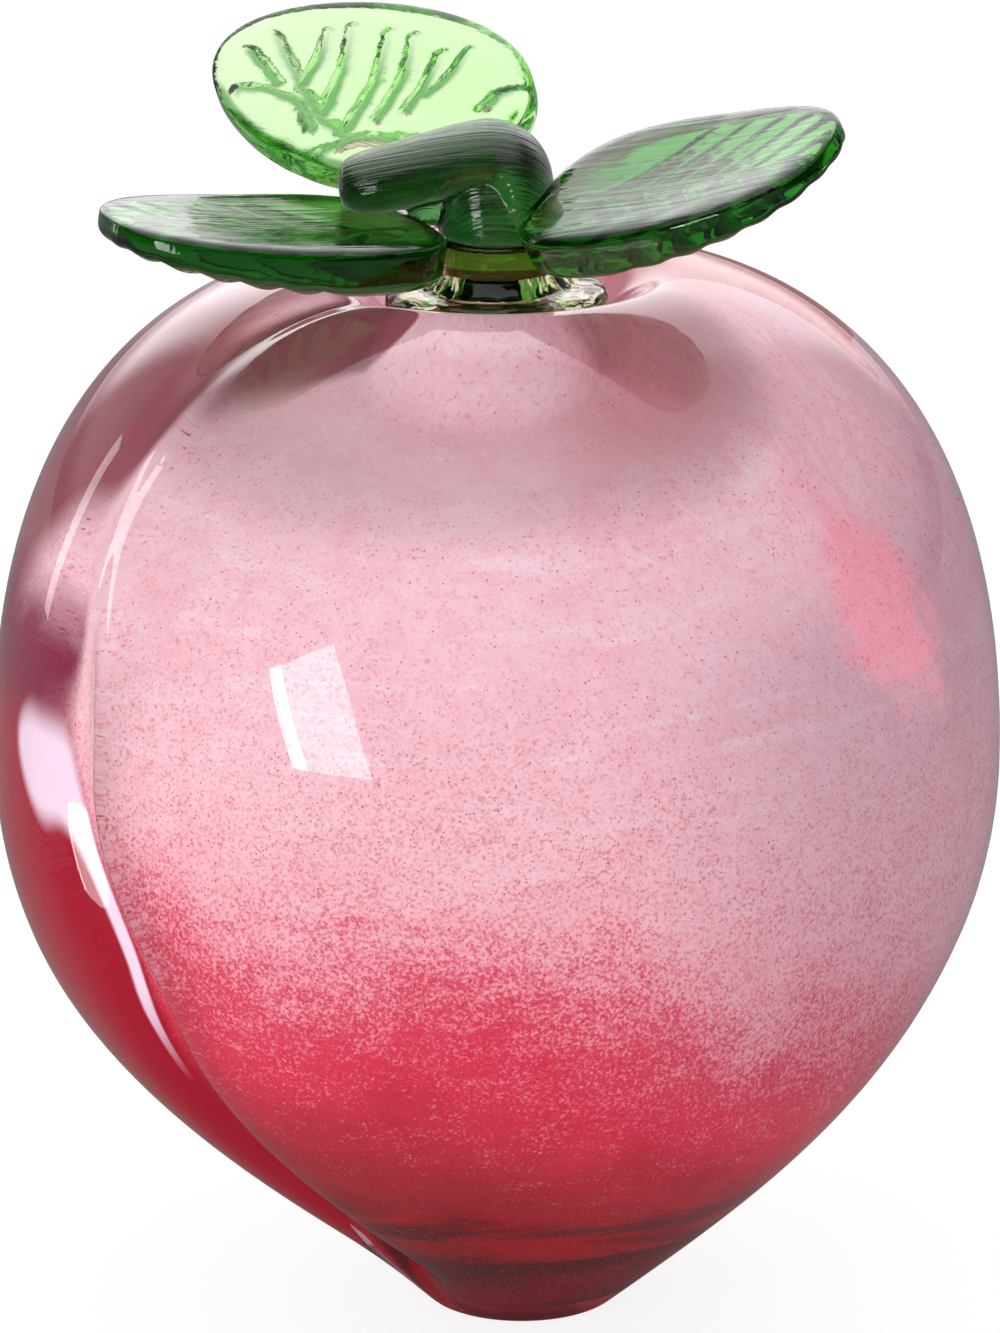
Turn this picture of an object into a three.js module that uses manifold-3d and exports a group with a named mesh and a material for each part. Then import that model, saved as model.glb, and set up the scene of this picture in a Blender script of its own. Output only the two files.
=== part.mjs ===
// A solid glass peach with three pressed glass leaves and a short bent stem.
// Millimetres, +Z up. The origin is the middle of the ground foot, and the viewer's side is -Y.
import * as THREE from 'three';
import { mergeVertices } from 'three/addons/utils/BufferGeometryUtils.js';
import Module from 'manifold-3d';

const wasm = await Module();
wasm.setup();

// Room left between bodies of glass that are fused or glued together
const gap = 0.3;

// The same room, measured upright, where two faces meet on a slant
const slantGap = 1.3 * gap;

// Outside of the peach
const footRadius = 7.5;
const footEdge = 0.8;
const flankAngle = 40;
const flankReach = 22;
const bodyRadius = 40;
const widestHeight = 46.5;
const bellyReach = 21;
const shoulderReach = 32;
const crestHeight = 85;
const crestRadius = 14.2;
const crestReach = 7.6;
const dimpleRadius = 7;
const dimpleDepth = 5;
const dimpleFillet = 1.5;

// The body above leans off the foot by this much, and is upright again from this height
const tipDrift = 2;
const driftHeight = 32;

// The crease pressed down one side, with its azimuth measured from -Y towards -X
const creaseDepth = 3;
const creaseWidth = 3.6;
const creaseShoulderDepth = 0.5;
const creaseShoulderReach = 24;
const creaseCrestDepth = 0.9;
const creaseFade = 8;
const creaseLowAzimuth = 48;
const creaseHighAzimuth = 57;
const creaseTurnBelow = 16;
const creaseTurnAbove = 4;
const creaseCoreShare = 0.8;

// Glass round and inside the colour
const casingWall = 9;
const casingFloor = 4;
const casingShoulder = 10;
const layerWall = 1.2;
const layerFloor = 2.4;
const coreTipReach = 12.5;
const coreBellyReach = 22;
const coreShoulderReach = 15;
const neckRadius = 4.2;
const neckFillet = 3;

// The belly of the colour sits off the axis, towards the crease and the back
const coreShift = 4.5;
const coreBackShift = 1.5;
const coreShiftStart = 6;
const coreShiftFull = 32;
const coreShiftFade = 61;
const coreShiftEnd = 71;

// Post and bead in the dimple
const postRadius = 4.8;
const postWaist = 4.3;
const postHeight = 7.5;
const beadRadius = 8.6;
const beadShoulder = 1.2;
const beadShoulderHeight = 4;
const beadRise = 5.4;

// Bent stem on the post
const knuckleRadius = 4.6;
const knuckleHeight = 6.4;
const knuckleFullness = 0.7;
const strapRootThickness = 5.2;
const strapTipThickness = 5.4;
const strapRootBreadth = 9.6;
const strapTipBreadth = 8;
const strapBluntness = 5;
const stemTurn = -3;

// The strap's middle line: up beside the knuckle and over its top, then down to the blunt end
const strapRise = [[1.8, 0.2], [2, 3], [2.4, 6.1], [-0.6, 6.4]];
const strapFall = [[-0.6, 6.4], [-3.6, 6.1], [-7.8, 4], [-12.3, 3.7]];

// Leaves. The two at the sides were pressed in one tool.
const leafLength = 27;
const backLeafLength = 29.5;
const leafWidth = 19;
const leafThickness = 4.6;
const backLeafThickness = 4;
const leafTipThickness = 2.6;
const leafRootReach = 0.3;
const leftLeafStandOff = 0.8;
const backLeafRootReach = 0.5;
const backLeafHeight = 7.2;
const leafEgg = -0.1;
const leafBluntness = 2.6;
const backLeafBluntness = 2;
const leafSag = 1.2;
const leafCup = 0.8;
const leafRimFullness = 5.5;
const veinsPerSide = 6;
const veinSpacing = 3.7;
const veinStart = 5.5;
const veinAngle = 52;
const veinRadius = 1.15;
const veinDepth = 0.9;
const veinRunOut = 0.9;

// Veins of the back leaf, which was pressed in another tool, as points of its plan
const backLeafVeins = [
  [[4, 2.5], [15, 5]],
  [[13.5, 5.2], [22.6, 0.3]],
  [[21.8, 0.6], [30, -4]],
  [[21.1, 1], [22.8, -4.8]],
  [[17.2, 3.7], [21.2, -6.1]],
  [[14.2, 4], [17.9, -6.7]],
  [[12.6, 2.1], [15.6, -7.2]],
  [[11, 0.2], [12.2, -6.3]],
  [[10.5, -1.9], [10, -7.2]],
  [[17, 5.3], [23.6, 2.9]],
  [[23.4, 2.8], [24.8, 6.3]],
  [[24.6, 6.1], [21.7, 8.3]],
  [[23.1, 1.9], [29.8, -0.4]],
  [[13, 5.2], [15.2, 8.8]],
  [[8.6, 4], [10, 8.6]],
  [[4.4, -2.1], [3, -4.4]],
];

const radians = THREE.MathUtils.degToRad;
const smoothstep = THREE.MathUtils.smoothstep;
const lerp = THREE.MathUtils.lerp;

// Heights that follow from the sizes above
const dimpleFloor = crestHeight - dimpleDepth;
const postTop = dimpleFloor + gap + postHeight;

const glass = (color, roughness = 0.05) => new THREE.MeshStandardMaterial({ color, roughness, metalness: 0 });
const clearGlass = glass('#e9e4ea');
const coreGlass = glass('#e3b3c4');
const colourGlass = glass('#c8203f');
const postGlass = glass('#2c4a12');
const beadGlass = glass('#b9b38c', 0.1);
const stemGlass = glass('#1f4d24');
const leafGlass = glass('#2f8a2c');
const paleLeafGlass = glass('#8fd25f');

// A closed geometry as a solid that can be cut and joined
function solid(geometry) {
  const bare = geometry.clone();
  bare.deleteAttribute('normal');
  bare.deleteAttribute('uv');
  const merged = mergeVertices(bare, 1e-4);
  return new wasm.Manifold(new wasm.Mesh({
    numProp: 3,
    vertProperties: new Float32Array(merged.attributes.position.array),
    triVerts: new Uint32Array(merged.index.array),
  }));
}

// A cut solid as a geometry again
function surface(body) {
  const mesh = body.getMesh();
  const geometry = new THREE.BufferGeometry();
  geometry.setAttribute('position', new THREE.BufferAttribute(mesh.vertProperties, 3));
  geometry.setIndex(new THREE.BufferAttribute(mesh.triVerts, 1));
  geometry.computeVertexNormals();
  return geometry;
}

// Moves each vertex of a geometry by a rule that takes its place and its normal
function shaped(geometry, rule) {
  const place = geometry.attributes.position;
  const normal = geometry.attributes.normal;
  const point = new THREE.Vector3();
  const facing = new THREE.Vector3();
  for (let i = 0; i < place.count; i += 1) {
    point.fromBufferAttribute(place, i);
    facing.fromBufferAttribute(normal, i);
    rule(point, facing);
    place.setXYZ(i, point.x, point.y, point.z);
  }
  return geometry;
}

// A revolved profile that stands on Z
function revolved(points, segments) {
  return new THREE.LatheGeometry(points, segments).rotateX(Math.PI / 2);
}

// The body's axis at a height, which runs from the foot to the upright upper part
function axisAt(height) {
  return -tipDrift * smoothstep(height, 0, driftHeight);
}

function leaned(geometry) {
  return shaped(geometry, (point) => {
    point.x += axisAt(point.z);
  });
}

// Where the crease runs at a height, as an angle from +X
function creaseBearing(height) {
  const turned = smoothstep(height, widestHeight - creaseTurnBelow, widestHeight + creaseTurnAbove);
  return radians(-90 - lerp(creaseLowAzimuth, creaseHighAzimuth, turned));
}

// How deep the crease is pressed at a height and a distance from the axis
function creasePress(height, radius) {
  if (height < widestHeight) {
    return creaseDepth * smoothstep(radius, footRadius, footRadius + creaseFade);
  }
  const shoulder = smoothstep(height, widestHeight, widestHeight + creaseShoulderReach);
  const upper = lerp(creaseDepth, creaseShoulderDepth, shoulder);
  const crest = lerp(upper, creaseCrestDepth, smoothstep(height, crestHeight - creaseFade, crestHeight));
  return crest * smoothstep(radius, dimpleRadius, crestRadius);
}

// Draws the segments of a revolved shape together near the crease, then presses the crease in
function creased(geometry, share) {
  const crowding = 0.6;
  return shaped(geometry, (point, facing) => {
    const radius = Math.hypot(point.x, point.y);
    const bearing = creaseBearing(point.z);
    const turn = Math.atan2(point.y, point.x);
    const shift = -crowding * Math.sin(turn) + bearing;
    facing.applyAxisAngle(new THREE.Vector3(0, 0, 1), shift);
    point.applyAxisAngle(new THREE.Vector3(0, 0, 1), shift);
    const beside = turn - crowding * Math.sin(turn);
    if (Math.cos(beside) <= 0) {
      return;
    }
    const offset = radius * Math.sin(beside) / creaseWidth;
    const press = share * creasePress(point.z, radius) / (1 + offset * offset) ** 2;
    point.addScaledVector(facing, -press);
  });
}

// Outline of the peach: foot, straight flank, full belly, shoulder, rounded crest and dimple
function bodyOutline() {
  const flank = radians(flankAngle);
  const outline = new THREE.Path();
  outline.moveTo(0, 0);
  outline.lineTo(footRadius - footEdge, 0);
  const [across, up] = [Math.cos(flank), Math.sin(flank)];
  outline.quadraticCurveTo(footRadius, 0, footRadius + footEdge * across, footEdge * up);
  outline.bezierCurveTo(
    footRadius + flankReach * across, flankReach * up,
    bodyRadius, widestHeight - bellyReach,
    bodyRadius, widestHeight,
  );
  outline.bezierCurveTo(
    bodyRadius, widestHeight + shoulderReach,
    crestRadius + crestReach, crestHeight,
    crestRadius, crestHeight,
  );
  outline.bezierCurveTo(
    crestRadius - crestReach / 2, crestHeight,
    dimpleRadius + dimpleFillet, dimpleFloor,
    dimpleRadius, dimpleFloor,
  );
  outline.lineTo(0, dimpleFloor);
  return outline.getPoints(8);
}

// Moves the belly of an inner shape off the axis
function setAside(geometry) {
  return shaped(geometry, (point) => {
    const low = smoothstep(point.z, coreShiftStart, coreShiftFull);
    const high = smoothstep(point.z, coreShiftFade, coreShiftEnd);
    point.x -= coreShift * low * (1 - high);
    point.y += coreBackShift * low * (1 - high);
  });
}

// Outline of the space inside the casing, drawn in from its wall and floor by these amounts
function innerOutline(wall, floor, steps) {
  const radius = bodyRadius - casingWall - wall;
  const bottom = casingFloor + floor;
  const top = dimpleFloor - casingShoulder - wall;
  const neck = neckRadius + neckFillet;
  const outline = new THREE.Path();
  outline.moveTo(0, bottom);
  outline.bezierCurveTo(coreTipReach, bottom, radius, widestHeight - coreBellyReach, radius, widestHeight);
  outline.bezierCurveTo(
    radius, widestHeight + coreShoulderReach,
    neck + coreShoulderReach / 2, top,
    neck, top,
  );
  return outline.getPoints(steps);
}

// The neck that joins the inside of the casing to the dimple
function neckPoints(radius, wall, end) {
  const top = dimpleFloor - casingShoulder - wall;
  return [
    new THREE.Vector2(radius, top + neckFillet),
    new THREE.Vector2(radius, end),
    new THREE.Vector2(0, end),
  ];
}

const bodySegments = 52;
const innerSegments = 32;

// An inner shape of the body, with the body's crease and lean, set aside as the colour is
function innerShape(outline) {
  return setAside(leaned(creased(revolved(outline, innerSegments), creaseCoreShare)));
}

function bodySolid() {
  return solid(leaned(creased(revolved(bodyOutline(), bodySegments), 1)));
}

function clearCasing() {
  const hollow = [...innerOutline(0, 0, 7), ...neckPoints(neckRadius, 0, dimpleFloor + 1)];
  return surface(bodySolid().subtract(solid(innerShape(hollow))));
}

// A cup of melted powder, thicker at the pointed end, open where the neck comes through
function colourLayer() {
  const top = new THREE.Vector2(0, dimpleFloor - casingShoulder - gap);
  const outside = [...innerOutline(gap, gap, 7), top];
  const wall = gap + layerWall;
  const mouth = neckPoints(neckRadius + neckFillet, wall, dimpleFloor);
  const inside = [...innerOutline(wall, gap + layerFloor, 7), ...mouth];
  return surface(solid(innerShape(outside)).subtract(solid(innerShape(inside))));
}

function coreGather() {
  const wall = gap + layerWall + gap;
  const floor = gap + layerFloor + gap;
  const outline = [...innerOutline(wall, floor, 7), ...neckPoints(neckRadius - gap, wall, dimpleFloor)];
  return innerShape(outline);
}

// The post stands in the dimple. It is drawn in a little at mid-height.
function neckPost(room = 0) {
  const outline = new THREE.Path();
  outline.moveTo(0, -room);
  outline.lineTo(postRadius + room, -room);
  const waist = 2 * postWaist - postRadius;
  outline.quadraticCurveTo(waist + room, postHeight / 2, postRadius + room, postHeight + room);
  outline.lineTo(0, postHeight + room);
  return revolved(outline.getPoints(4), 24);
}

// The bead fills the dimple round the post's foot, climbs the post a little and stays under the leaves
function seatBead(fittedLeaves) {
  const inside = postRadius + gap;
  const outline = new THREE.Path();
  outline.moveTo(inside, -dimpleDepth);
  outline.lineTo(beadRadius, -dimpleDepth);
  outline.quadraticCurveTo(
    beadRadius + beadShoulder, beadShoulderHeight,
    beadRadius - beadShoulder, beadShoulderHeight,
  );
  outline.quadraticCurveTo(inside + beadShoulder, beadShoulderHeight, inside, beadRise);
  outline.closePath();
  const ring = revolved(outline.getPoints(4), 24).translate(axisAt(dimpleFloor), 0, dimpleFloor);
  let bead = solid(ring).subtract(bodySolid().translate([0, 0, slantGap]));
  for (const leaf of fittedLeaves) {
    bead = bead.subtract(leaf.translate([axisAt(postTop), 0, postTop - slantGap]));
  }
  return surface(bead);
}

// The middle line of the strap, in the upright plane it bends in
function strapLine() {
  const line = new THREE.CurvePath();
  for (const corners of [strapRise, strapFall]) {
    line.add(new THREE.CubicBezierCurve3(...corners.map(([x, z]) => new THREE.Vector3(x, 0, z))));
  }
  return line;
}

// The stem is a domed knuckle on the post, with a broad strap laid over it that ends blunt
function stem(room = 0) {
  const knuckle = new THREE.Path();
  knuckle.moveTo(0, -room);
  knuckle.lineTo(knuckleRadius + room, -room);
  knuckle.bezierCurveTo(
    knuckleRadius + room, knuckleHeight * knuckleFullness,
    knuckleRadius * knuckleFullness + room, knuckleHeight + room,
    0, knuckleHeight + room,
  );
  const dome = solid(revolved(knuckle.getPoints(6), 24));

  const line = strapLine();
  const sideways = new THREE.Vector3(0, 1, 0);
  const strap = new THREE.SphereGeometry(1, 16, 24).rotateX(Math.PI / 2);
  shaped(strap, (point) => {
    const along = THREE.MathUtils.clamp((point.z + 1) / 2, 0, 1);
    const centre = line.getPoint(along);
    const heading = line.getTangent(along);
    const above = heading.clone().cross(sideways);
    const ring = Math.hypot(point.x, point.y);
    const girth = ring > 1e-6 ? (1 - Math.abs(point.z) ** strapBluntness) ** (1 / strapBluntness) / ring : 0;
    const thick = lerp(strapRootThickness, strapTipThickness, along) / 2 + room;
    const broad = lerp(strapRootBreadth, strapTipBreadth, along) / 2 + room;
    const overrun = room * point.z;
    const lift = point.y * girth * thick;
    const side = point.x * girth * broad;
    point.copy(centre).addScaledVector(heading, overrun);
    point.addScaledVector(above, lift).addScaledVector(sideways, side);
  });
  strap.rotateZ(radians(stemTurn));
  return dome.add(solid(strap));
}

// Takes a flat leaf to its real form: drooping in the middle of its length, raised along both edges
function leafBend(point, length) {
  const along = point.x / length - 0.5;
  const across = 2 * point.y / leafWidth;
  point.z += leafSag * (4 * along * along - 1) + leafCup * across * across;
}

// A leaf lies along +X from its root, with its smooth face up and its veins pressed into its underside
function leafBlank(length, thickness, bluntness) {
  const blank = new THREE.SphereGeometry(1, 30, 10).rotateX(Math.PI / 2);
  const power = 2 / leafRimFullness;
  shaped(blank, (point) => {
    const radius = Math.hypot(point.x, point.y);
    const squared = (Math.abs(point.x) ** bluntness + Math.abs(point.y) ** bluntness) ** (1 / bluntness);
    const stretch = radius > 1e-6 ? radius ** power / squared : 0;
    const along = point.x * stretch;
    const across = point.y * stretch * (1 + leafEgg * along);
    const share = (1 + along) / 2;
    const lift = Math.sign(point.z) * Math.abs(point.z) ** power;
    const halfThickness = lerp(thickness, leafTipThickness, share ** 2) / 2;
    point.set(length * share, leafWidth * across / 2, halfThickness * lift);
  });
  return solid(blank);
}

// A tapered, four-sided cutter laid along the underside with one edge up, between two points of the plan
function veinCutter(start, end, thickness) {
  const reach = Math.hypot(end[0] - start[0], end[1] - start[1]);
  const cutter = new THREE.CylinderGeometry(veinRadius, veinRadius, reach, 4, 1).rotateZ(-Math.PI / 2);
  cutter.translate(reach / 2, 0, 0);
  shaped(cutter, (point) => {
    point.z += veinRunOut * point.x / leafWidth;
  });
  cutter.rotateZ(Math.atan2(end[1] - start[1], end[0] - start[0]));
  cutter.translate(start[0], start[1], veinDepth - veinRadius - thickness / 2);
  return solid(cutter);
}

// A midrib with slanting veins on both sides, as points of the leaf's plan
function featherVeins(length) {
  const slant = [leafWidth * Math.cos(radians(veinAngle)), leafWidth * Math.sin(radians(veinAngle))];
  const veins = [[[veinStart / 2, 0], [length, 0]]];
  for (let i = 0; i < veinsPerSide; i += 1) {
    const start = veinStart + i * veinSpacing;
    veins.push([[start, 0], [start + slant[0], slant[1]]], [[start, 0], [start + slant[0], -slant[1]]]);
  }
  return veins;
}

function pressedLeaf({ length, thickness, bluntness, veins }) {
  let leaf = leafBlank(length, thickness, bluntness);
  for (const [start, end] of veins) {
    leaf = leaf.subtract(veinCutter(start, end, thickness));
  }
  return solid(shaped(surface(leaf), (point) => leafBend(point, length)));
}

// The left leaf lies under the strap, and the right and the back leaf join the knuckle
const leftReach = postRadius + leftLeafStandOff;
const rightReach = postRadius - leafRootReach;
const backReach = knuckleRadius - backLeafRootReach;

// Where each leaf's root lies round the post and above its top, and how the leaf heads, rises and rolls
const leaves = [
  {
    name: 'left_leaf', material: leafGlass, length: leafLength, thickness: leafThickness,
    bluntness: leafBluntness, veins: featherVeins(leafLength),
    seat: 203, reach: leftReach, height: -0.1, azimuth: 203, rise: 8, roll: -2,
  },
  {
    name: 'right_leaf', material: leafGlass, length: leafLength, thickness: leafThickness,
    bluntness: leafBluntness, veins: featherVeins(leafLength),
    seat: -34, reach: rightReach, height: 2.5, azimuth: -34, rise: 17, roll: 20,
  },
  {
    name: 'back_leaf', material: paleLeafGlass, length: backLeafLength, thickness: backLeafThickness,
    bluntness: backLeafBluntness, veins: backLeafVeins,
    seat: 66, reach: backReach, height: backLeafHeight, azimuth: 143, rise: 7, roll: -30,
  },
];

function leafPlace(leaf) {
  const place = new THREE.Object3D();
  const seat = radians(leaf.seat);
  place.position.set(leaf.reach * Math.cos(seat), leaf.reach * Math.sin(seat), leaf.height);
  place.rotation.set(radians(leaf.roll), radians(-leaf.rise), radians(leaf.azimuth), 'ZYX');
  place.updateMatrix();
  return place;
}

// Cuts a leaf's root back to the post and the stem, leaving the gap
function fittedLeaf(leaf, obstacles) {
  let fitted = pressedLeaf(leaf).transform(leafPlace(leaf).matrix.toArray());
  for (const obstacle of obstacles) {
    fitted = fitted.subtract(obstacle);
  }
  return fitted;
}

const roomForPost = solid(neckPost(gap)).translate([0, 0, -postHeight]);
const roomForStem = stem(gap).translate([0, 0, gap]);
const fittedLeaves = leaves.map((leaf) => fittedLeaf(leaf, [roomForPost, roomForStem]));

const peach = new THREE.Group();

function add(parent, name, geometry, material) {
  const mesh = new THREE.Mesh(geometry, material);
  mesh.name = name;
  parent.add(mesh);
  return mesh;
}

add(peach, 'clear_casing', clearCasing(), clearGlass);
add(peach, 'colour_layer', colourLayer(), colourGlass);
add(peach, 'core_gather', coreGather(), coreGlass);
add(peach, 'seat_bead', seatBead(fittedLeaves), beadGlass);

// The post, the stem and the leaves share an axis that stands in the dimple
const crown = new THREE.Group();
crown.position.set(axisAt(postTop), 0, postTop);
peach.add(crown);

add(crown, 'neck_post', neckPost(), postGlass).position.z = -postHeight;
add(crown, 'stem', surface(stem()), stemGlass).position.z = gap;

leaves.forEach((leaf, index) => {
  const place = leafPlace(leaf);
  const back = place.matrix.clone().invert();
  const mesh = add(crown, leaf.name, surface(fittedLeaves[index].transform(back.toArray())), leaf.material);
  mesh.position.copy(place.position);
  mesh.rotation.copy(place.rotation);
});

export default peach;
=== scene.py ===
import math
import random
import bmesh
import bpy
from mathutils import Euler, Matrix, Vector
from mathutils.geometry import interpolate_bezier


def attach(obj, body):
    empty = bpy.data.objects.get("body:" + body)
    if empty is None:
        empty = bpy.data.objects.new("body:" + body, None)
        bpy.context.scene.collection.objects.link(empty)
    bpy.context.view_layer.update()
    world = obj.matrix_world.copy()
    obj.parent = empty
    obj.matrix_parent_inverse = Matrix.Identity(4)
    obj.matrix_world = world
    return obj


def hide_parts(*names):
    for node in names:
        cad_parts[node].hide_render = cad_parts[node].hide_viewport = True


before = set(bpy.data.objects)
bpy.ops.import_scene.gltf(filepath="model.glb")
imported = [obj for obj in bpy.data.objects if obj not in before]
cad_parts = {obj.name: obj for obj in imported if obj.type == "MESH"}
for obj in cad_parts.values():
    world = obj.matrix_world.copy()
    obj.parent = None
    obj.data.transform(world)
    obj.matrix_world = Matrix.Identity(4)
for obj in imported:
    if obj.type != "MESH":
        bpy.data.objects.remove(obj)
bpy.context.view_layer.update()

# Clear casing.
# The last gather of clear crystal over the colour. It is shaped to a peach while it is soft, one crease is
# pressed down its side, and the small foot is ground flat once the glass is cold.
mm = 0.001
foot_radius = 7.5 * mm
foot_edge = 0.8 * mm
flank_angle = math.radians(40)
flank_reach = 22 * mm
body_radius = 40 * mm
widest_height = 46.5 * mm
belly_reach = 21 * mm
shoulder_reach = 32 * mm
crest_height = 85 * mm
crest_radius = 14.2 * mm
crest_reach = 7.6 * mm
dimple_radius = 7 * mm
dimple_depth = 5 * mm
dimple_fillet = 1.5 * mm
tip_drift = 2 * mm
drift_height = 32 * mm
crease_depth = 3 * mm
crease_width = 3.6 * mm
crease_shoulder_depth = 0.5 * mm
crease_shoulder_reach = 24 * mm
crease_crest_depth = 0.9 * mm
crease_fade = 8 * mm
crease_low_azimuth = math.radians(48)
crease_high_azimuth = math.radians(57)
crease_crowding = 0.6
body_steps = 216
dimple_floor = crest_height - dimple_depth


def smooth_step(value, low, high):
    share = min(max((value - low) / (high - low), 0), 1)
    return share * share * (3 - 2 * share)


def blend(low, high, share):
    return low + (high - low) * share


def curve(start, start_handle, end_handle, end, steps):
    """Points (radius, 0, height) along a curve in the plane of a profile, without the last one."""
    ends = [Vector((radius, 0, height)) for radius, height in (start, start_handle, end_handle, end)]
    return interpolate_bezier(*ends, steps + 1)[:-1]


def peach_outline():
    """The outside of the peach from the middle of its foot up over the crest to the middle of the dimple."""
    across, up = math.cos(flank_angle), math.sin(flank_angle)
    flat = (foot_radius - foot_edge, 0)
    flank = (foot_radius + foot_edge * across, foot_edge * up)
    widest = (body_radius, widest_height)
    crest = (crest_radius, crest_height)
    floor = (dimple_radius, dimple_floor)
    points = curve((0, 0), (0, 0), flat, flat, 6)
    points += curve(flat, (foot_radius, 0), (foot_radius, 0), flank, 6)
    points += curve(
        flank,
        (foot_radius + flank_reach * across, flank_reach * up),
        (body_radius, widest_height - belly_reach),
        widest,
        64,
    )
    points += curve(
        widest,
        (body_radius, widest_height + shoulder_reach),
        (crest_radius + crest_reach, crest_height),
        crest,
        64,
    )
    points += curve(
        crest,
        (crest_radius - crest_reach / 2, crest_height),
        (dimple_radius + dimple_fillet, dimple_floor),
        floor,
        20,
    )
    points += curve(floor, floor, (0, dimple_floor), (0, dimple_floor), 8)
    return points + [Vector((0, 0, dimple_floor))]


def revolve(outline, steps):
    """Spins a profile once round the upright axis and closes its seam and poles."""
    shape = bmesh.new()
    points = [shape.verts.new(point) for point in outline]
    lines = [shape.edges.new(pair) for pair in zip(points, points[1:])]
    bmesh.ops.spin(
        shape, geom=points + lines, cent=(0, 0, 0), axis=(0, 0, 1), angle=math.tau, steps=steps, use_merge=True
    )
    bmesh.ops.remove_doubles(shape, verts=shape.verts, dist=0.001 * mm)
    bmesh.ops.recalc_face_normals(shape, faces=shape.faces)
    shape.normal_update()
    return shape


def lean(height):
    return -tip_drift * smooth_step(height, 0, drift_height)


def crease_bearing(height):
    share = smooth_step(height, widest_height - 16 * mm, widest_height + 4 * mm)
    return -math.pi / 2 - blend(crease_low_azimuth, crease_high_azimuth, share)


def crease_press(height, radius):
    if height < widest_height:
        return crease_depth * smooth_step(radius, foot_radius, foot_radius + crease_fade)
    upper = smooth_step(height, widest_height, widest_height + crease_shoulder_reach)
    crest = smooth_step(height, crest_height - crease_fade, crest_height)
    depth = blend(blend(crease_depth, crease_shoulder_depth, upper), crease_crest_depth, crest)
    return depth * smooth_step(radius, dimple_radius, crest_radius)


def press_crease(shape, share, cup=False):
    """Draws the columns of a revolved shape together beside the crease, presses it in and leans the shape.

    The inside of a cup is pressed the same way as its outside.
    """
    for point in shape.verts:
        turn = math.atan2(point.co.y, point.co.x)
        shift = crease_bearing(point.co.z) - crease_crowding * math.sin(turn)
        point.co = Matrix.Rotation(shift, 3, "Z") @ point.co
    shape.normal_update()
    pressed = []
    for point in shape.verts:
        radius = point.co.xy.length
        beside = math.atan2(point.co.y, point.co.x) - crease_bearing(point.co.z)
        press = 0
        if math.cos(beside) > 0:
            offset = radius * math.sin(beside) / crease_width
            press = share * crease_press(point.co.z, radius) / (1 + offset * offset) ** 2
        if cup and point.normal.xy.dot(point.co.xy) < 0:
            press = -press
        pressed.append(point.co - point.normal * press)
    for point, place in zip(shape.verts, pressed):
        point.co = place + Vector((lean(place.z), 0, 0))


def finished(shape, name, material, node):
    """Turns a shape into a smooth piece with its finish that stands for its node, whose imported part it hides."""
    mesh = bpy.data.meshes.new(name)
    shape.to_mesh(mesh)
    shape.free()
    mesh.shade_smooth()
    mesh.materials.append(material)
    piece = bpy.data.objects.new(name, mesh)
    bpy.context.collection.objects.link(piece)
    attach(piece, "root")
    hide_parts(node)
    return piece


def add_node(tree, kind, inputs=None, **settings):
    """Adds a node, makes its settings, and sets its inputs or links sockets to them."""
    made = tree.nodes.new("ShaderNode" + kind)
    for name, value in settings.items():
        setattr(made, name, value)
    for name, value in (inputs or {}).items():
        if isinstance(value, bpy.types.NodeSocket):
            tree.links.new(value, made.inputs[name])
        else:
            made.inputs[name].default_value = value
    return made


def sums(tree, operation, first, second=0.0, third=0.0, clamp=False):
    """The result of one step of arithmetic on values or sockets."""
    made = add_node(tree, "Math", {0: first, 1: second, 2: third}, operation=operation)
    made.use_clamp = clamp
    return made.outputs[0]


def ramp(tree, value, low, high, out_low=0.0, out_high=1.0):
    """Maps a value smoothly from one range to another."""
    made = add_node(
        tree,
        "MapRange",
        {"Value": value, "From Min": low, "From Max": high, "To Min": out_low, "To Max": out_high},
        interpolation_type="SMOOTHSTEP",
    )
    return made.outputs["Result"]


def fade(tree, value, low, high):
    """A mask that goes smoothly from full to none as a value rises."""
    return ramp(tree, value, low, high, 1.0, 0.0)


def product(tree, *masks):
    """Several masks multiplied into one."""
    made = masks[0]
    for mask in masks[1:]:
        made = sums(tree, "MULTIPLY", made, mask)
    return made


def mixed(tree, share, first, second):
    """Two colours mixed by a mask."""
    made = tree.nodes.new("ShaderNodeMix")
    made.data_type = "RGBA"
    for place, value in (("Factor_Float", share), ("A_Color", first), ("B_Color", second)):
        socket = next(s for s in made.inputs if s.identifier == place)
        if isinstance(value, bpy.types.NodeSocket):
            tree.links.new(value, socket)
        else:
            socket.default_value = value
    return next(s for s in made.outputs if s.identifier == "Result_Color")


def new_group(name, inputs, outputs):
    """An empty node group with named sockets, given as name: default or name: socket kind."""
    tree = bpy.data.node_groups.new(name, "ShaderNodeTree")
    for label, default in inputs.items():
        kind = "NodeSocketVector" if default is None else "NodeSocketFloat"
        socket = tree.interface.new_socket(label, in_out="INPUT", socket_type=kind)
        if default is not None:
            socket.default_value = default
    for label, kind in outputs.items():
        tree.interface.new_socket(label, in_out="OUTPUT", socket_type=kind)
    return tree, tree.nodes.new("NodeGroupInput").outputs, tree.nodes.new("NodeGroupOutput").inputs


def grouped(tree, group, inputs):
    """Places a group in a material with its own values."""
    return add_node(tree, "Group", inputs, node_tree=group).outputs


def new_finish(name, **shader_values):
    """A material with one Principled shader, and the tree, the shader and the output to build on."""
    material = bpy.data.materials.new(name)
    material.use_nodes = True
    tree = material.node_tree
    tree.nodes.clear()
    shader = tree.nodes.new("ShaderNodeBsdfPrincipled")
    for label, value in shader_values.items():
        shader.inputs[label.replace("_", " ")].default_value = value
    out = tree.nodes.new("ShaderNodeOutputMaterial")
    tree.links.new(shader.outputs[0], out.inputs["Surface"])
    return material, tree, shader, out


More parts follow.
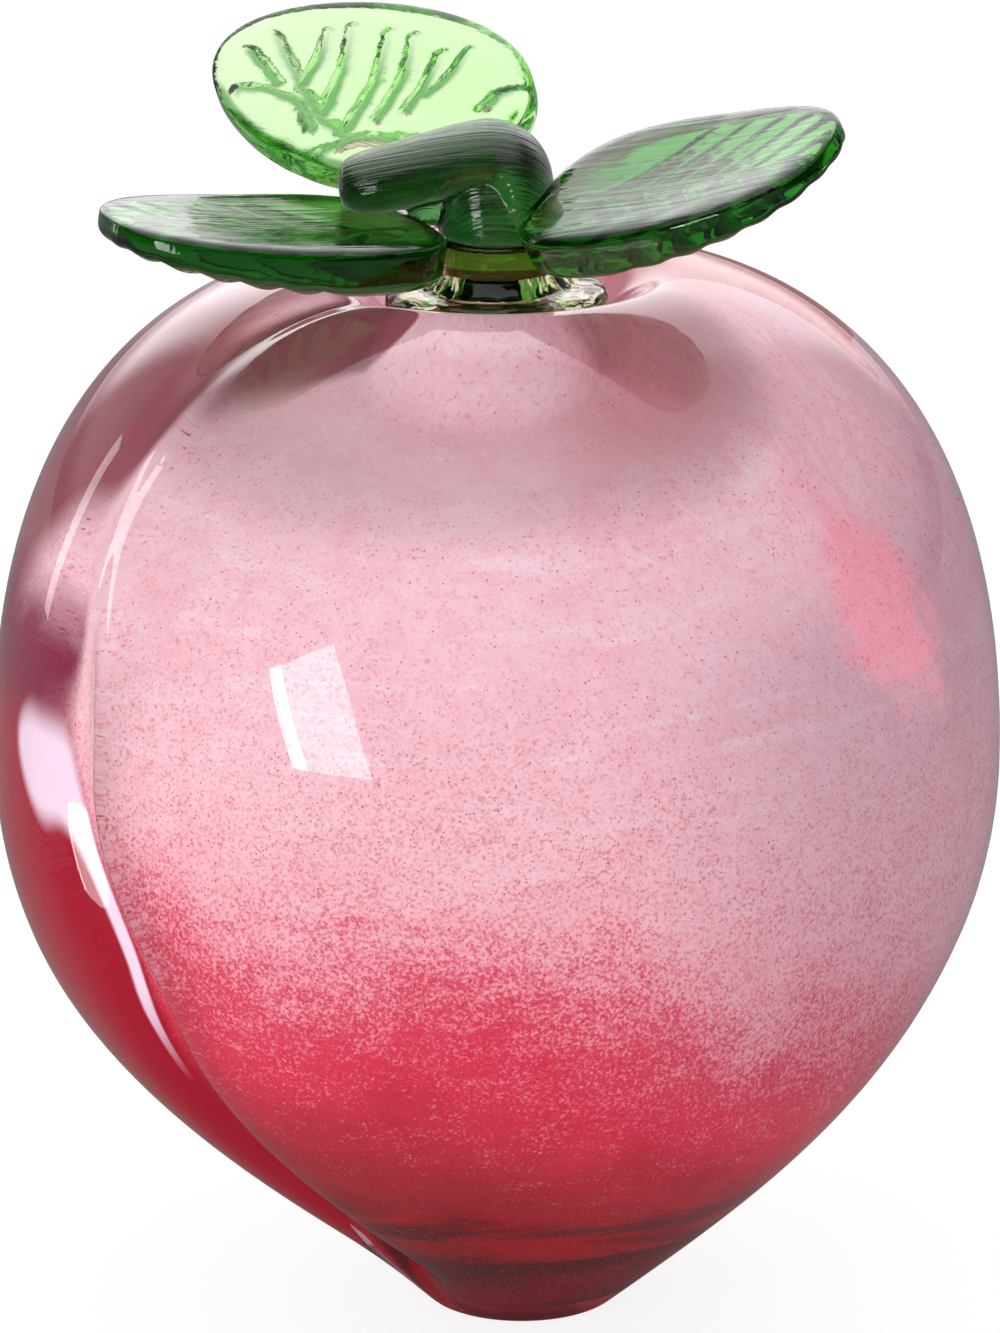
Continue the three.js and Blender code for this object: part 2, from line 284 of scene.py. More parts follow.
def add_absorption(tree, out, colour, density):
    """Makes glass darker where light goes a longer way through it."""
    soak = add_node(tree, "VolumeAbsorption", {"Color": colour, "Density": density})
    tree.links.new(soak.outputs[0], out.inputs["Volume"])


# Fire-polished glass isn't quite even: it has slow waves, and a faint bloom where it was handled.
hand_waves, given, put = new_group(
    "hand waves", {"Vector": None, "Wave Length": 0.012}, {"Height": "NodeSocketFloat"}
)
spacing = sums(hand_waves, "DIVIDE", 1.0, given["Wave Length"])
waves = {"Vector": given["Vector"], "Scale": spacing, "Detail": 1.0, "Roughness": 0.4}
hand_waves.links.new(add_node(hand_waves, "TexNoise", waves).outputs["Fac"], put["Height"])

bloom, given, put = new_group(
    "bloom", {"Vector": None, "Clean": 0.0, "Dull": 0.05}, {"Roughness": "NodeSocketFloat"}
)
patches = add_node(bloom, "TexNoise", {"Vector": given["Vector"], "Scale": 140.0, "Detail": 5.0, "Roughness": 0.65})
share = ramp(bloom, patches.outputs["Fac"], 0.52, 0.72)
span = sums(bloom, "SUBTRACT", given["Dull"], given["Clean"])
bloom.links.new(sums(bloom, "MULTIPLY_ADD", share, span, given["Clean"]), put["Roughness"])


def add_haze(tree, shader, place, clean, dull):
    """Gives a face its polish, with the bloom of handling on it."""
    haze = grouped(tree, bloom, {"Vector": place, "Clean": clean, "Dull": dull})["Roughness"]
    tree.links.new(haze, shader.inputs["Roughness"])


def add_relief(tree, shader, height, depth):
    """Gives a face a fine relief of some depth."""
    relief = add_node(tree, "Bump", {"Height": height, "Strength": 1.0, "Distance": depth})
    tree.links.new(relief.outputs["Normal"], shader.inputs["Normal"])


# The foot is dull where it was ground, and the crest on the right of the post is tinted red as a painted refraction
# of the red powder below.
crystal = (0.97, 0.955, 0.965, 1)
crest_refraction_red = (0.72, 0.38, 0.43, 1)
crystal_shade = (0.78, 0.62, 0.68, 1)
crystal_density = 22.0
casing_dullness = 0.012
ground_dullness = 0.35
ground_height = 0.15 * mm
casing_wave_length = 14 * mm
casing_wave_height = 0.12 * mm

casing_glass, tree, shader, out = new_finish("casing glass", IOR=1.5, Transmission_Weight=1.0)
place = add_node(tree, "TexCoord").outputs["Object"]
axes = add_node(tree, "SeparateXYZ", {0: place}).outputs
haze = grouped(tree, bloom, {"Vector": place, "Clean": 0.0, "Dull": casing_dullness})["Roughness"]
ground = ramp(tree, axes["Z"], 0.02 * mm, ground_height, ground_dullness, 0.0)
tree.links.new(sums(tree, "ADD", haze, ground), shader.inputs["Roughness"])
waviness = grouped(tree, hand_waves, {"Vector": place, "Wave Length": casing_wave_length})["Height"]
add_relief(tree, shader, waviness, casing_wave_height)

# Painted refraction: the crest right of the post is tinted red where the red powder below would show through it.
high_up = ramp(tree, axes["Z"], crest_height - 11 * mm, crest_height - 4 * mm)
right_hand = product(tree, ramp(tree, axes["X"], 0, 8 * mm), fade(tree, axes["X"], 12 * mm, 19 * mm))
crest_refraction_tint = mixed(tree, product(tree, high_up, right_hand), crystal, crest_refraction_red)
tree.links.new(crest_refraction_tint, shader.inputs["Base Color"])
add_absorption(tree, out, crystal_shade, crystal_density)

body = revolve(peach_outline(), body_steps)
press_crease(body, share=1)
finished(body, "casing", casing_glass, "clear_casing")

# Coloured core.
# A pale pink gather that was rolled in red powder: the powder lies thick round the pointed end and thins out
# upwards to single grains. A neck of the same glass joins it to the bottom of the dimple.
gap = 0.3 * mm
casing_wall = 9 * mm
casing_floor = 4 * mm
casing_shoulder = 10 * mm
layer_wall = 1.2 * mm
layer_floor = 2.4 * mm
core_shift = 4.5 * mm
core_back_shift = 1.5 * mm
core_tip_reach = 12.5 * mm
core_belly_reach = 22 * mm
core_shoulder_reach = 15 * mm
neck_radius = 4.2 * mm
neck_fillet = 3 * mm
crease_core_share = 0.8
powder_start = 7 * mm
powder_tilt = 0.12
powder_right_dip = 6.5 * mm
powder_unevenness = 14 * mm
shift_start = 6 * mm
shift_full = 32 * mm
shift_ease = 61 * mm
shift_end = 71 * mm
neck_sink = 0.1 * mm
core_steps = 128


def inner_outline(wall, floor):
    """The outline of the core at some depth inside the casing, from its lowest point up to its neck."""
    radius = body_radius - casing_wall - wall
    bottom = casing_floor + floor
    top = dimple_floor - casing_shoulder - wall
    neck = neck_radius + neck_fillet
    belly = (radius, widest_height)
    points = curve((0, bottom), (core_tip_reach, bottom), (radius, widest_height - core_belly_reach), belly, 48)
    points += curve(
        belly, (radius, widest_height + core_shoulder_reach), (neck + core_shoulder_reach / 2, top), (neck, top), 48
    )
    return points + [Vector((neck, 0, top))]


def set_aside(shape):
    """Moves the belly of a core shape to the creased side, where the clear casing is thinner."""
    for point in shape.verts:
        share = smooth_step(point.co.z, shift_start, shift_full)
        share *= 1 - smooth_step(point.co.z, shift_ease, shift_end)
        point.co.x -= core_shift * share
        point.co.y += core_back_shift * share


# Each grain of powder is a spot in a cell of its own, and only a chosen share of the cells has one.
grain_least = 0.32
grain_spread = 0.25
grains, given, put = new_group(
    "powder grains", {"Vector": None, "Grain Size": 0.0003, "Amount": 0.3}, {"Mask": "NodeSocketFloat"}
)
spacing = sums(grains, "DIVIDE", 1.0, given["Grain Size"])
cells = add_node(grains, "TexVoronoi", {"Vector": given["Vector"], "Scale": spacing, "Randomness": 1.0})
lot = add_node(grains, "SeparateColor", {0: cells.outputs["Color"]}).outputs["Red"]
chosen = sums(grains, "LESS_THAN", lot, given["Amount"])
size = sums(grains, "MULTIPLY_ADD", lot, grain_spread, grain_least)
spot = fade(grains, sums(grains, "DIVIDE", cells.outputs["Distance"], size), 0.7, 1.15)
grains.links.new(product(grains, spot, chosen), put["Mask"])

# Left of the crease the powder was pressed into a dense crimson lobe. A pale painted highlight streak runs along
# its edge, broad at the top and thin below, and fine lines are drawn out on the right of the crease.
streak_low = 33 * mm
streak_high = 53 * mm
streak_low_bearing = -1.015
streak_high_bearing = -1.27
streak_thinnest = 0.013
streak_broadest = 0.085
streak_crown = 3 * mm
thread_density = 150.0
lobe_unevenness = 0.12
lobe_top = 60 * mm
lobe_top_unevenness = 8 * mm

lobe_marks, given, put = new_group(
    "lobe marks",
    {"Turn": 0.0, "Height": 0.04, "Drift": 0.5},
    {"Seam": "NodeSocketFloat", "Lines": "NodeSocketFloat", "Lobe": "NodeSocketFloat"},
)
course = ramp(lobe_marks, given["Height"], streak_low, streak_high, streak_low_bearing, streak_high_bearing)
beside = sums(lobe_marks, "SUBTRACT", given["Turn"], course)
half_width = ramp(lobe_marks, given["Height"], 26 * mm, 54 * mm, streak_thinnest, streak_broadest)
aside = sums(lobe_marks, "DIVIDE", sums(lobe_marks, "ABSOLUTE", beside), half_width)
low_end = ramp(lobe_marks, given["Height"], 24 * mm, streak_low)
crowned = sums(lobe_marks, "MULTIPLY_ADD", product(lobe_marks, aside, aside), streak_crown, given["Height"])
high_end = fade(lobe_marks, crowned, 50.5 * mm, 53.5 * mm)
# Painted highlight: a pale streak along the edge of the lobe.
lobe_marks.links.new(product(lobe_marks, fade(lobe_marks, aside, 0.55, 1.1), low_end, high_end), put["Seam"])
threads = ramp(lobe_marks, sums(lobe_marks, "SINE", sums(lobe_marks, "MULTIPLY", beside, thread_density)), 0.5, 0.95)
drawn = product(lobe_marks, ramp(lobe_marks, beside, 0.10, 0.14), fade(lobe_marks, beside, 0.24, 0.34))
drawn = product(lobe_marks, drawn, fade(lobe_marks, given["Height"], 43 * mm, 48 * mm), low_end)
lobe_marks.links.new(product(lobe_marks, threads, drawn), put["Lines"])
edge = sums(lobe_marks, "MULTIPLY_ADD", given["Drift"], lobe_unevenness, beside)
lobe = product(lobe_marks, ramp(lobe_marks, given["Turn"], -2.3, -1.8), fade(lobe_marks, edge, 0.07, 0.17))
crown = sums(lobe_marks, "MULTIPLY_ADD", given["Drift"], lobe_top_unevenness, given["Height"])
lobe_marks.links.new(product(lobe_marks, lobe, fade(lobe_marks, crown, lobe_top, lobe_top + 5 * mm)), put["Lobe"])

# The gather goes from rose below to pale pink above, with level veils, fine marbling and clouds of deeper pink.
# It has a painted shade towards the back at the left, a painted highlight in one patch at the right, and a painted
# shade on the right side round that patch.
rose = (0.92, 0.20, 0.28, 1)
light_rose = (0.98, 0.68, 0.73, 1)
pale_pink = (0.96, 0.72, 0.78, 1)
veil_white = (0.98, 0.86, 0.89, 1)
marble_pink = (0.90, 0.48, 0.56, 1)
cloud_pink = (0.95, 0.36, 0.46, 1)
edge_shade_red = (0.28, 0.07, 0.10, 1)
patch_highlight_pink = (1.0, 0.34, 0.46, 1)
patch_place = (21.5 * mm, -3 * mm, 43 * mm)
patch_flatness = 0.72
patch_raggedness = -16 * mm
patch_strength = 0.62
veil_strength = 0.6
marble_strength = 0.35
cloud_strength = 0.35
edge_shade_strength = 0.92
right_shade_grey = (0.13, 0.06, 0.11, 1)
right_shade_strength = 0.36

colouring, given, put = new_group("peach colouring", {"Vector": None}, {"Color": "NodeSocketColor"})
place = given["Vector"]


def noise(scale, detail, **settings):
    """Cloudy noise in the coloured glass, the same all ways, or drawn out by a scale for each axis."""
    inputs = {"Vector": place, "Scale": scale, "Detail": detail, **settings}
    if isinstance(scale, tuple):
        stretched = add_node(colouring, "Mapping", {"Vector": place, "Scale": scale})
        inputs.update({"Vector": stretched.outputs[0], "Scale": 1.0})
    return add_node(colouring, "TexNoise", inputs).outputs["Fac"]


# The level runs up from the pointed end, more slowly at the left, and wanders with the drift of the glass.
axes = add_node(colouring, "SeparateXYZ", {0: place}).outputs
height = axes["Z"]
sideways = sums(colouring, "ADD", axes["X"], tip_drift + core_shift)
turn = sums(colouring, "ARCTAN2", sideways, sums(colouring, "MULTIPLY", axes["Y"], -1.0))
drift = noise(scale=70.0, detail=4.0, Roughness=0.6)
level = sums(colouring, "SUBTRACT", height, powder_start)
level = sums(colouring, "MULTIPLY_ADD", axes["X"], powder_tilt, level)
level = sums(colouring, "ADD", level, ramp(colouring, axes["X"], 0, 26 * mm, 0.0, powder_right_dip))
level = sums(colouring, "MULTIPLY_ADD", drift, powder_unevenness, level)


def mix_above(low, high, first, second):
    """One colour that turns into another as the level rises, from one height to another in millimetres."""
    return mixed(colouring, ramp(colouring, level, low * mm, high * mm), first, second)


gather = mix_above(26, 50, rose, light_rose)
gather = mix_above(50, 68, gather, pale_pink)
veils = ramp(colouring, noise(scale=(60, 60, 900), detail=5.0, Distortion=0.8), 0.48, 0.72)
veils = product(colouring, veils, ramp(colouring, height, 30 * mm, 60 * mm, 0.06, veil_strength))
gather = mixed(colouring, veils, gather, veil_white)
marbling = noise(scale=300.0, detail=6.0, Roughness=0.75, Distortion=1.6)
gather = mixed(colouring, ramp(colouring, marbling, 0.42, 0.62, 0.0, marble_strength), gather, marble_pink)
clouds = noise(scale=120.0, detail=6.0, Roughness=0.7, Distortion=0.4)
gather = mixed(colouring, ramp(colouring, clouds, 0.5, 0.75, 0.0, cloud_strength), gather, cloud_pink)
turned = sums(colouring, "ABSOLUTE", turn)
# Painted shade: the back of the gather at the left is darkened where the edge of the glass looks dark.
behind = product(
    colouring,
    ramp(colouring, turned, 1.42, 1.64, 0.0, edge_shade_strength),
    fade(colouring, turned, 2.3, 2.7),
    ramp(colouring, height, 44 * mm, 54 * mm),
    ramp(colouring, axes["X"], -8 * mm, 12 * mm, 1.0, 0.15),
)
gather = mixed(colouring, behind, gather, edge_shade_red)
from_patch = add_node(
    colouring,
    "Mapping",
    {"Vector": place, "Location": [-x for x in patch_place], "Scale": (1, 1, patch_flatness)},
)
from_patch = add_node(colouring, "VectorMath", {0: from_patch.outputs[0]}, operation="LENGTH").outputs["Value"]
from_patch = sums(colouring, "MULTIPLY_ADD", clouds, patch_raggedness, from_patch)
outside_patch = ramp(colouring, from_patch, -4.5 * mm, 0.5 * mm)
# Painted highlight: a patch of brighter pink at the right stands for light seen through the glass there.
patch_highlight = sums(colouring, "MULTIPLY_ADD", outside_patch, -patch_strength, patch_strength)
gather = mixed(colouring, patch_highlight, gather, patch_highlight_pink)

# Grains of red powder lie so close round the pointed end that they have melted into one film, with a few dark
# streaks in it. Higher up they stand apart, first as stipple and then as single grains.
tip_red = (0.13, 0.005, 0.009, 1)
deep_red = (0.34, 0.007, 0.012, 1)
streak_red = (0.07, 0.008, 0.010, 1)
full_red = (0.72, 0.030, 0.075, 1)
bright_red = (0.74, 0.09, 0.17, 1)
grain_red = (0.48, 0.035, 0.08, 1)
stipple_density = 5600.0
thin_share = 0.12
thick_strength = 0.96
coarse_grain = 0.24 * mm
coarse_share = 0.3
coarse_strength = 0.75

sparse = ramp(colouring, level, 44 * mm, 66 * mm, 0.28, 0.1)
amount = sums(colouring, "MAXIMUM", ramp(colouring, level, 18 * mm, 53 * mm, 1.0, thin_share), sparse)
patchy = noise(scale=(260, 260, 640), detail=3.0, Distortion=0.6)
amount = product(colouring, amount, sums(colouring, "MULTIPLY_ADD", patchy, 0.9, 0.55))
cells = add_node(colouring, "TexVoronoi", {"Vector": place, "Scale": stipple_density})
lot = add_node(colouring, "SeparateColor", {0: cells.outputs["Color"]}).outputs["Green"]
stipple = sums(colouring, "MULTIPLY_ADD", noise(scale=3400.0, detail=2.0, Roughness=0.6), 1.3, -0.4)
lot = sums(colouring, "MULTIPLY_ADD", lot, 0.5, stipple)
film = ramp(colouring, sums(colouring, "SUBTRACT", amount, lot), -0.36, 0.3)
film = product(colouring, film, ramp(colouring, amount, 0.1, 0.6, 0.6, thick_strength))
film = sums(colouring, "MAXIMUM", film, fade(colouring, level, 15 * mm, 30 * mm))
streaks = ramp(colouring, noise(scale=(45, 45, 240), detail=3.0, Distortion=0.6), 0.44, 0.56)
streaks = product(colouring, streaks, ramp(colouring, height, 13 * mm, 20 * mm, 0.9, 0.0))
powder = mix_above(6, 15, tip_red, deep_red)
powder = mixed(colouring, streaks, powder, streak_red)
powder = mix_above(18, 30, powder, full_red)
powder = mix_above(27, 44, powder, bright_red)
powdered = mixed(colouring, film, gather, powder)
coarse_amount = sums(colouring, "MULTIPLY", amount, coarse_share)
coarse = grouped(colouring, grains, {"Vector": place, "Grain Size": coarse_grain, "Amount": coarse_amount})["Mask"]
powdered = mixed(colouring, sums(colouring, "MULTIPLY", coarse, coarse_strength), powdered, grain_red)
# Painted shade: the right side of the gather is darkened round the highlight patch.
shade = product(
    colouring,
    ramp(colouring, axes["X"], 3 * mm, 25 * mm, 0.0, right_shade_strength),
    ramp(colouring, height, 20 * mm, 32 * mm),
    fade(colouring, height, 56 * mm, 63 * mm),
    outside_patch,
)
powdered = mixed(colouring, shade, powdered, right_shade_grey)

# The painted highlight streak, the lobe and the drawn lines lie over the powder.
lobe_crimson = (0.36, 0.004, 0.022, 1)
lobe_crown = (0.22, 0.008, 0.05, 1)
streak_highlight_white = (1.0, 0.84, 1.0, 1)
thread_pink = (0.62, 0.20, 0.30, 1)

lobe_marked = grouped(colouring, lobe_marks, {"Turn": turn, "Height": height, "Drift": drift})
crimson = mixed(colouring, ramp(colouring, height, 49 * mm, 54 * mm), lobe_crimson, lobe_crown)
layers = powdered
for mask, strength, colour in ("Lobe", 0.96, crimson), ("Seam", 0.95, streak_highlight_white), ("Lines", 0.5, thread_pink):
    layers = mixed(colouring, sums(colouring, "MULTIPLY", lobe_marked[mask], strength), layers, colour)
colouring.links.new(layers, put["Color"])

core_glass, tree, shader, _ = new_finish("pink core glass", Roughness=0.5, IOR=1.5, Specular_IOR_Level=0.0)
colours = grouped(tree, colouring, {"Vector": add_node(tree, "TexCoord").outputs["Object"]})
tree.links.new(colours["Color"], shader.inputs["Base Color"])

outline = inner_outline(gap + layer_wall + gap, gap + layer_floor + gap)
neck_top = outline[-1].z + neck_fillet
outline += [
    Vector((neck_radius - gap, 0, neck_top)),
    Vector((neck_radius - gap, 0, dimple_floor - neck_sink)),
    Vector((0, 0, dimple_floor - neck_sink)),
]
core = revolve(outline, core_steps)
press_crease(core, share=crease_core_share)
set_aside(core)
finished(core, "core", core_glass, "core_gather")

# The powder lies on the core as a thin melted cup. It shows the colour that it has over the core, and thins out to
# nothing near the neck.
layer_ease = 65 * mm
layer_end = 70 * mm

powder_glass, tree, shader, _ = new_finish("red powder glass", Roughness=0.5, IOR=1.5, Specular_IOR_Level=0.0)
place = add_node(tree, "TexCoord").outputs["Object"]
colours = grouped(tree, colouring, {"Vector": place})
tree.links.new(colours["Color"], shader.inputs["Base Color"])
height = add_node(tree, "SeparateXYZ", {0: place}).outputs["Z"]
tree.links.new(fade(tree, height, layer_ease, layer_end), shader.inputs["Alpha"])
outside = inner_outline(gap, gap)
inside = inner_outline(gap + layer_wall, gap + layer_floor)
layer = revolve(outside + inside[::-1], core_steps)
press_crease(layer, share=crease_core_share, cup=True)
set_aside(layer)
finished(layer, "powder_layer", powder_glass, "colour_layer")

# Neck post.
# A short piece of olive cane that stands in the dimple and carries the stem and the leaves.
# It was drawn in a little at mid-height when it was cut, and small seeds of air are caught in its top.
post_radius = 4.8 * mm
post_waist = 4.3 * mm
post_height = 7.5 * mm
crown_x = lean(crest_height)
post_top = dimple_floor + gap + post_height
post_steps = 64
cane_green = (0.42, 0.48, 0.18, 1)
cane_shade = (0.42, 0.60, 0.05, 1)
cane_density = 480.0
seed_light = (0.95, 1.0, 0.70, 1)
seed_size = 1.2 * mm
seed_share = 0.45
seed_row_depth = 1.3 * mm

post_glass, tree, shader, out = new_finish("olive cane glass", IOR=1.5, Transmission_Weight=1.0)
place = add_node(tree, "TexCoord").outputs["Object"]
height = add_node(tree, "SeparateXYZ", {0: place}).outputs["Z"]
seeds = grouped(tree, grains, {"Vector": place, "Grain Size": seed_size, "Amount": seed_share})["Mask"]
from_row = sums(tree, "ABSOLUTE", sums(tree, "SUBTRACT", height, post_top - seed_row_depth))
in_row = fade(tree, from_row, 0.5 * mm, 0.9 * mm)
tree.links.new(mixed(tree, product(tree, seeds, in_row), cane_green, seed_light), shader.inputs["Base Color"])
add_haze(tree, shader, place, clean=0.01, dull=0.08)
add_absorption(tree, out, cane_shade, cane_density)

outline = curve((0, 0), (0, 0), (post_radius, 0), (post_radius, 0), 3)
waist = 2 * post_waist - post_radius
outline += curve(
    (post_radius, 0), (waist, post_height / 3), (waist, post_height * 2 / 3), (post_radius, post_height), 16
)
outline += curve(
    (post_radius, post_height), (post_radius, post_height), (0, post_height), (0, post_height), 3
)
outline.append(Vector((0, 0, post_height)))
post = revolve(outline, post_steps)
bmesh.ops.translate(post, verts=post.verts, vec=(crown_x, 0, dimple_floor + gap))
finished(post, "post", post_glass, "neck_post")

# Seat bead.
# Clear cement that was run round the post's foot to hold it in the dimple. It has set with a round shoulder and
# yellowed a little.
bead_radius = 8.6 * mm
bead_shoulder = 1.2 * mm
bead_shoulder_height = 4 * mm
bead_rise = 5.4 * mm
bead_bore = post_radius - 0.05 * mm
bead_underside = 0.2 * mm
bead_foot = bead_radius - 1.4 * mm
bead_foot_height = 0.1 * mm
bead_flank_height = 0.6 * mm
bead_steps = 96
bead_yellow = (0.80, 0.74, 0.52, 1)
bead_wave_length = 2.5 * mm
bead_wave_height = 0.5 * mm

bead_glass, tree, shader, _ = new_finish(
    "bead cement", Base_Color=bead_yellow, IOR=1.45, Transmission_Weight=1.0
)
place = add_node(tree, "TexCoord").outputs["Object"]
add_haze(tree, shader, place, clean=0.03, dull=0.2)
waviness = grouped(tree, hand_waves, {"Vector": place, "Wave Length": bead_wave_length})["Height"]
add_relief(tree, shader, waviness, bead_wave_height)

outline = curve(
    (bead_foot, bead_foot_height),
    (bead_radius, bead_flank_height),
    (bead_radius + bead_shoulder, bead_shoulder_height),
    (bead_radius - bead_shoulder, bead_shoulder_height),
    14,
)
outline += curve(
    (bead_radius - bead_shoulder, bead_shoulder_height),
    (bead_bore + bead_shoulder, bead_shoulder_height),
    (bead_bore + bead_shoulder, bead_shoulder_height),
    (bead_bore, bead_rise),
    12,
)
outline += [Vector((bead_bore, 0, bead_rise)), Vector((bead_bore, 0, bead_underside)), outline[0]]
bead = revolve(outline, bead_steps)
bmesh.ops.translate(bead, verts=bead.verts, vec=(crown_x, 0, dimple_floor))
finished(bead, "bead", bead_glass, "seat_bead")

# Stem.
# A hot bit of dark green cane set on the post, pulled up to a knuckle and bent over to one side. Pulling it
# left fine lines along its length, and its end was snapped off blunt.
knuckle_radius = 4.6 * mm
knuckle_height = 6.4 * mm
knuckle_fullness = 0.7
strap_root_thickness = 5.2 * mm
strap_tip_thickness = 5.4 * mm
strap_root_breadth = 9.6 * mm
strap_tip_breadth = 8 * mm
strap_bluntness = 5
strap_step = 0.02
stem_turn = math.radians(-3)
web_radius = 1.9 * mm
web_place = Vector((-5.3, 0, 2.5)) * mm
skin_grain = 0.22 * mm
skin_softening = 6
stem_green = (0.34, 0.55, 0.32, 1)
stem_shade = (0.10, 0.55, 0.12, 1)
stem_density = 420.0
line_width = 0.3 * mm
line_depth = 0.16 * mm
line_spacing = 130.0
strap_rise = (1.8, 0.2), (2.0, 3.0), (2.4, 6.1), (-0.6, 6.4)
strap_fall = (-0.6, 6.4), (-3.6, 6.1), (-7.8, 4.0), (-12.3, 3.7)
strap_course = []
for corners in strap_rise, strap_fall:
    strap_course += interpolate_bezier(*[Vector((x, 0, z)) * mm for x, z in corners], 32)

drawn_lines, given, put = new_group(
    "drawn lines", {"Along": 0.0, "Across": 0.0, "Line Width": 0.0003}, {"Height": "NodeSocketFloat"}
)
lengthways = sums(drawn_lines, "MULTIPLY", given["Along"], line_spacing)
crossways = sums(drawn_lines, "DIVIDE", given["Across"], given["Line Width"])
plan = add_node(drawn_lines, "CombineXYZ", {0: lengthways, 1: crossways})
threads = {"Vector": plan.outputs[0], "Scale": 0.6, "Detail": 3.0, "Distortion": 0.35}
drawn_lines.links.new(add_node(drawn_lines, "TexNoise", threads).outputs["Fac"], put["Height"])

stem_glass, tree, shader, out = new_finish(
    "stem glass",
    Base_Color=stem_green,
    IOR=1.65,
    Transmission_Weight=1.0,
    Sheen_Weight=0.4,
    Sheen_Roughness=0.4,
)
place = add_node(tree, "TexCoord").outputs["Object"]
axes = add_node(tree, "SeparateXYZ", {0: place}).outputs
add_haze(tree, shader, place, clean=0.05, dull=0.16)
around = sums(tree, "ADD", axes["Y"], axes["Z"])
lines = grouped(tree, drawn_lines, {"Along": axes["X"], "Across": around, "Line Width": line_width})["Height"]
add_relief(tree, shader, lines, line_depth)
add_absorption(tree, out, stem_shade, stem_density)


def fused(shape, grain, softening):
    """Melts the overlapping bodies of a shape into one skin with soft joints."""
    mesh = bpy.data.meshes.new("melt")
    shape.to_mesh(mesh)
    shape.free()
    melt = bpy.data.objects.new("melt", mesh)
    bpy.context.collection.objects.link(melt)
    skin = melt.modifiers.new("skin", "REMESH")
    skin.mode = "VOXEL"
    skin.voxel_size = grain
    soft = melt.modifiers.new("soft", "SMOOTH")
    soft.factor = 0.5
    soft.iterations = softening
    bpy.context.view_layer.update()
    made = melt.evaluated_get(bpy.context.evaluated_depsgraph_get()).to_mesh()
    result = bmesh.new()
    result.from_mesh(made)
    melt.evaluated_get(bpy.context.evaluated_depsgraph_get()).to_mesh_clear()
    bpy.data.objects.remove(melt)
    return result


outline = curve((0, 0), (0, 0), (knuckle_radius, 0), (knuckle_radius, 0), 4)
outline += curve(
    (knuckle_radius, 0),
    (knuckle_radius, knuckle_height * knuckle_fullness),
    (knuckle_radius * knuckle_fullness, knuckle_height),
    (0, knuckle_height),
    30,
)
outline.append(Vector((0, 0, knuckle_height)))
knuckle = revolve(outline, post_steps)
web = Matrix.Translation(web_place)
bmesh.ops.create_uvsphere(knuckle, u_segments=32, v_segments=16, radius=web_radius, matrix=web)


def strap_line(share):
    """The middle of the strap: up from the right of the knuckle, over it and down to the blunt end."""
    reach = len(strap_course) - 1
    number = min(int(share * reach), reach - 1)
    return strap_course[number].lerp(strap_course[number + 1], share * reach - number)


strap = bmesh.new()
bmesh.ops.create_uvsphere(strap, u_segments=48, v_segments=64, radius=1)
for point in strap.verts:
    share = (point.co.z + 1) / 2
    centre = strap_line(share)
    heading = (strap_line(min(share + strap_step, 1)) - strap_line(max(share - strap_step, 0))).normalized()
    above = Vector((0, -1, 0)).cross(heading)
    fullness = max((1 - point.co.z**2) ** 0.5, 1e-6)
    girth = (1 - abs(point.co.z) ** strap_bluntness) ** (1 / strap_bluntness) / fullness
    thick = blend(strap_root_thickness, strap_tip_thickness, share) / 2
    broad = blend(strap_root_breadth, strap_tip_breadth, share) / 2
    point.co = centre + Vector((0, point.co.x * girth * broad, 0)) + above * (point.co.y * girth * thick)
bmesh.ops.recalc_face_normals(strap, faces=strap.faces)
bmesh.ops.rotate(strap, verts=strap.verts, cent=(0, 0, 0), matrix=Matrix.Rotation(stem_turn, 3, "Z"))
strap_mesh = bpy.data.meshes.new("strap")
strap.to_mesh(strap_mesh)
strap.free()
knuckle.from_mesh(strap_mesh)
bmesh.ops.translate(knuckle, verts=knuckle.verts, vec=(crown_x, 0, post_top + gap))
finished(fused(knuckle, skin_grain, skin_softening), "bent_stem", stem_glass, "stem")

# Leaves.
# Three leaves of green glass, each pressed from a soft bit with a ribbed tool, so that the smooth face is up and
# the veins are below and scallop its rim. Their roots were fused to the post and the stem while hot.
leaf_length = 27 * mm
back_leaf_length = 29.5 * mm
leaf_width = 19 * mm
leaf_thickness = 4.6 * mm
leaf_tip_thickness = 2.6 * mm
leaf_root_reach = 0.3 * mm
left_leaf_stand_off = 0.8 * mm
back_leaf_root_reach = 0.5 * mm
back_leaf_height = 7.2 * mm
leaf_egg = -0.1
leaf_bluntness = 2.6
back_leaf_bluntness = 2.0
back_leaf_thickness = 4.0 * mm
leaf_sag = 1.2 * mm
leaf_cup = 0.8 * mm
leaf_rim_fullness = 5.5
leaf_rim_start = 0.9
leaf_rings = 44
leaf_rim_rings = 12
leaf_steps = 240
veins_per_side = 6
vein_spacing = 3.7 * mm
vein_start = 5.5 * mm
vein_angle = math.radians(52)
vein_width = 0.7 * mm
vein_depth = 0.95 * mm
vein_wander = 0.07 * mm
vein_rim_loss = 0.8
rim_shade_strength = 0.7
wander_along = 0.3 * mm
wander_aside = 0.5 * mm
leaf_green = (0.38, 0.70, 0.30, 1)
leaf_vein_and_rim_shade_green = (0.26, 0.56, 0.20, 1)
leaf_shade = (0.14, 0.64, 0.08, 1)
leaf_density = 340.0
pale_green = (0.92, 1.0, 0.80, 1)
pale_vein_and_rim_shade_green = (0.03, 0.20, 0.02, 1)
pale_shade = (0.42, 0.88, 0.16, 1)
pale_density = 130.0
leaf_line_width = 0.4 * mm
leaf_wave_length = 4 * mm
leaf_wave_share = 3.0
leaf_relief_depth = 0.06 * mm


